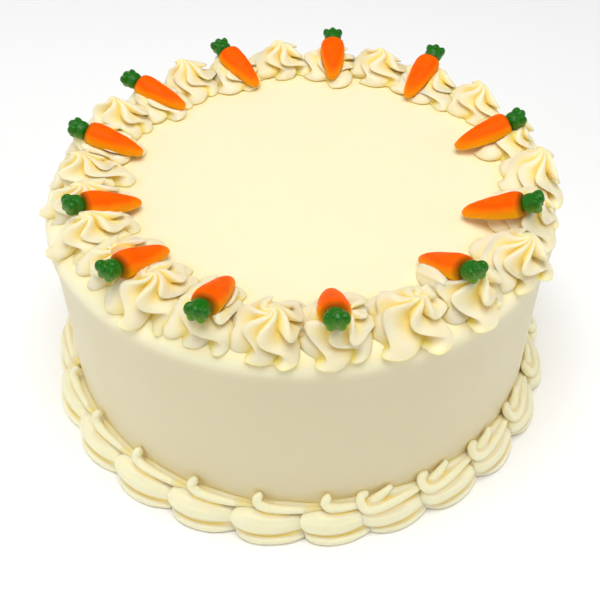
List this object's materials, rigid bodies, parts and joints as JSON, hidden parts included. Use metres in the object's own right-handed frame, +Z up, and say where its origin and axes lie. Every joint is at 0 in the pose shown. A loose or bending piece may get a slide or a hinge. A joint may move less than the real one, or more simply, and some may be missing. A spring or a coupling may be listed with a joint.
{
  "type": "carrot cake",
  "caption": "Round carrot cake under smooth cream cheese icing, with a ring of piped swirls bearing candy carrots and a piped shell border round its foot.",
  "frame": {"origin": "middle of the cake's flat underside", "axes": "+Z up; the side of the cake that faces -Y is its front"},
  "size_m": [0.2357, 0.2355, 0.1177],
  "materials": {
    "smooth_icing": "satin",
    "piped_icing": "satin",
    "carrot_candy": "satin",
    "leaf_candy": "gloss"
  },
  "bodies": {
    "root": {"cake_body": "smooth_icing", "shell_border": "piped_icing", "swirl_01": "piped_icing", "swirl_02": "piped_icing", "swirl_03": "piped_icing", "swirl_04": "piped_icing", "swirl_05": "piped_icing", "swirl_06": "piped_icing", "swirl_07": "piped_icing", "swirl_08": "piped_icing", "swirl_09": "piped_icing", "swirl_10": "piped_icing", "swirl_11": "piped_icing", "swirl_12": "piped_icing", "swirl_13": "piped_icing", "swirl_14": "piped_icing", "swirl_15": "piped_icing", "swirl_16": "piped_icing", "swirl_17": "piped_icing", "swirl_18": "piped_icing", "swirl_19": "piped_icing", "swirl_20": "piped_icing", "swirl_21": "piped_icing", "swirl_22": "piped_icing", "swirl_23": "piped_icing", "swirl_24": "piped_icing", "carrot_01": "carrot_candy", "carrot_02": "carrot_candy", "carrot_03": "carrot_candy", "carrot_04": "carrot_candy", "carrot_05": "carrot_candy", "carrot_06": "carrot_candy", "carrot_07": "carrot_candy", "carrot_08": "carrot_candy", "carrot_09": "carrot_candy", "carrot_10": "carrot_candy", "carrot_11": "carrot_candy", "carrot_12": "carrot_candy", "carrot_leaf_01": "leaf_candy", "carrot_leaf_02": "leaf_candy", "carrot_leaf_03": "leaf_candy", "carrot_leaf_04": "leaf_candy", "carrot_leaf_05": "leaf_candy", "carrot_leaf_06": "leaf_candy", "carrot_leaf_07": "leaf_candy", "carrot_leaf_08": "leaf_candy", "carrot_leaf_09": "leaf_candy", "carrot_leaf_10": "leaf_candy", "carrot_leaf_11": "leaf_candy", "carrot_leaf_12": "leaf_candy"}
  },
  "joints": []
}
